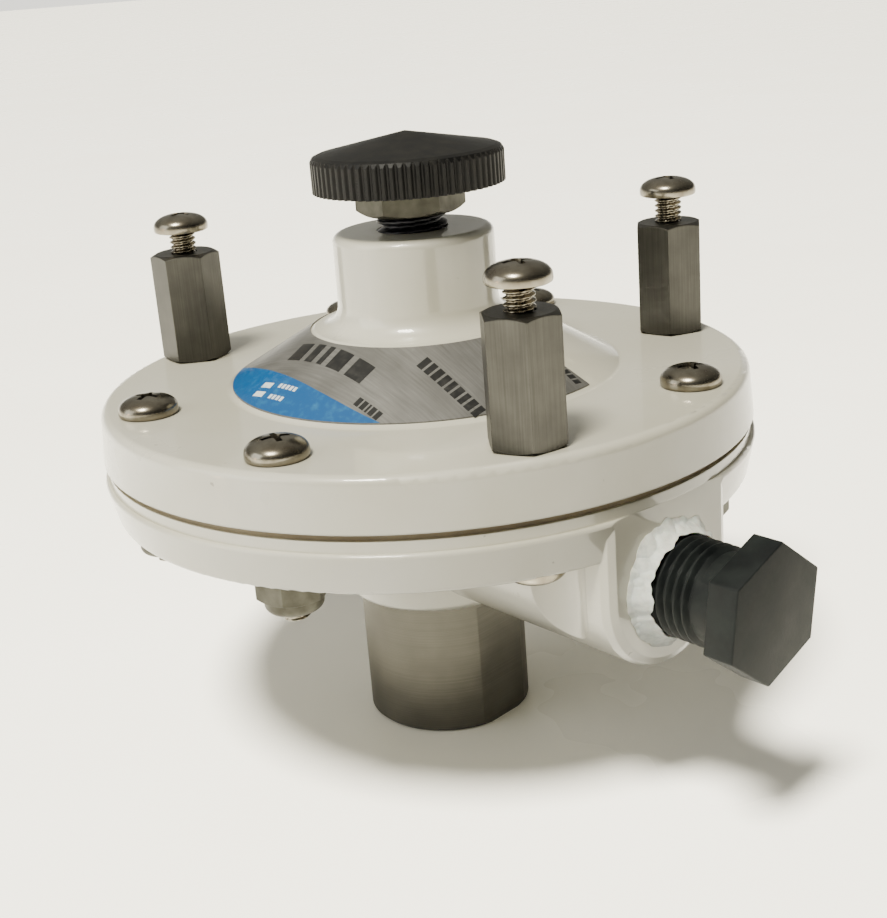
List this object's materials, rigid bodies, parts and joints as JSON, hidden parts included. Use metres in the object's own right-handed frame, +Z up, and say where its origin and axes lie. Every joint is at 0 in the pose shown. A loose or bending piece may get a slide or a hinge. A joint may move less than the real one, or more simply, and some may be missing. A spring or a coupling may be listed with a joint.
{
  "type": "diaphragm air pressure regulator",
  "caption": "Round flanged low-pressure diaphragm regulator with a screw-adjusted spring tower, hexagonal standoffs, a round bottom inlet and a plugged side outlet.",
  "frame": {"origin": "centre of the inlet's mouth, in the plane of the ring that the regulator stands on", "axes": "+Z up along the casing's axis, +X along the side outlet, pointing out of it"},
  "size_m": [0.1139, 0.0984, 0.091],
  "materials": {
    "enamel": "glossy off-white stoving enamel over a casting",
    "foil": "satin printed metal foil",
    "membrane_rubber": "matt fabric-reinforced rubber",
    "plated_steel": "dull zinc plate",
    "spring_steel": "drawn wire",
    "black_steel": "black oxide",
    "zinc_steel": "dull grey zinc plate",
    "knob_plastic": "satin black moulded plastic",
    "turned_steel": "turned stainless steel",
    "seat_brass": "turned brass",
    "plug_plastic": "satin black moulded polymer",
    "tape": "soft white thread tape",
    "stainless_bar": "cold-drawn stainless bar",
    "screw_steel": "bright stainless steel"
  },
  "bodies": {
    "casing": {"diaphragm": "membrane_rubber", "flange_nut_1": "screw_steel", "flange_nut_2": "screw_steel", "flange_nut_3": "screw_steel", "flange_nut_4": "screw_steel", "flange_nut_5": "screw_steel", "flange_screw_1": "screw_steel", "flange_screw_2": "screw_steel", "flange_screw_3": "screw_steel", "flange_screw_4": "screw_steel", "flange_screw_5": "screw_steel", "inlet_fitting": "turned_steel", "lower_casing": "enamel", "nameplate": "foil", "outlet_plug": "plug_plastic", "spring_retainer": "plated_steel", "standoff_1": "stainless_bar", "standoff_2": "stainless_bar", "standoff_3": "stainless_bar", "standoff_screw_1": "screw_steel", "standoff_screw_2": "screw_steel", "standoff_screw_3": "screw_steel", "thread_tape": "tape", "under_screw_1": "screw_steel", "under_screw_2": "screw_steel", "under_screw_3": "screw_steel", "upper_cover": "enamel", "valve_seat": "seat_brass", "valve_spring": "spring_steel"},
    "spring_button": {"spring_button": "plated_steel"},
    "adjuster": {"adjusting_screw": "black_steel", "knob": "knob_plastic"},
    "jam_nut": {"jam_nut": "zinc_steel"},
    "diaphragm_stack": {"lower_plate": "plated_steel", "upper_plate": "plated_steel", "diaphragm_bolt": "plated_steel", "diaphragm_nut": "plated_steel", "range_spring": "spring_steel"},
    "valve": {"valve_poppet": "seat_brass", "valve_disc": "membrane_rubber"}
  },
  "joints": [
    {"name": "adjuster_travel", "type": "slide", "parent": "casing", "child": "spring_button", "axis": [0, 0, -1], "range_m": [-0.003, 0.00114], "deforming": ["range_spring"]},
    {"name": "knob_turn", "type": "hinge", "parent": "spring_button", "child": "adjuster", "pos_m": [0, 0, 0.0831], "axis": [0, 0, -1], "range_deg": [-720.1, 275.1]},
    {"name": "jam_nut_travel", "type": "slide", "parent": "adjuster", "child": "jam_nut", "axis": [0, 0, -1], "range_m": [0, 0.0012]},
    {"name": "diaphragm_lift", "type": "slide", "parent": "casing", "child": "diaphragm_stack", "axis": [0, 0, 1], "range_m": [-0.0012, 0], "stiffness_N_per_m": 1500, "springref_m": 0.0004, "deforming": ["diaphragm"]},
    {"name": "valve_stroke", "type": "slide", "parent": "casing", "child": "valve", "axis": [0, 0, 1], "range_m": [-0.0012, 0], "deforming": ["valve_spring"]}
  ],
  "couplings": [
    {"joint": "knob_turn", "follows": "adjuster_travel", "rad_per_m": 4188.8},
    {"joint": "valve_stroke", "follows": "diaphragm_lift", "ratio": 1}
  ]
}
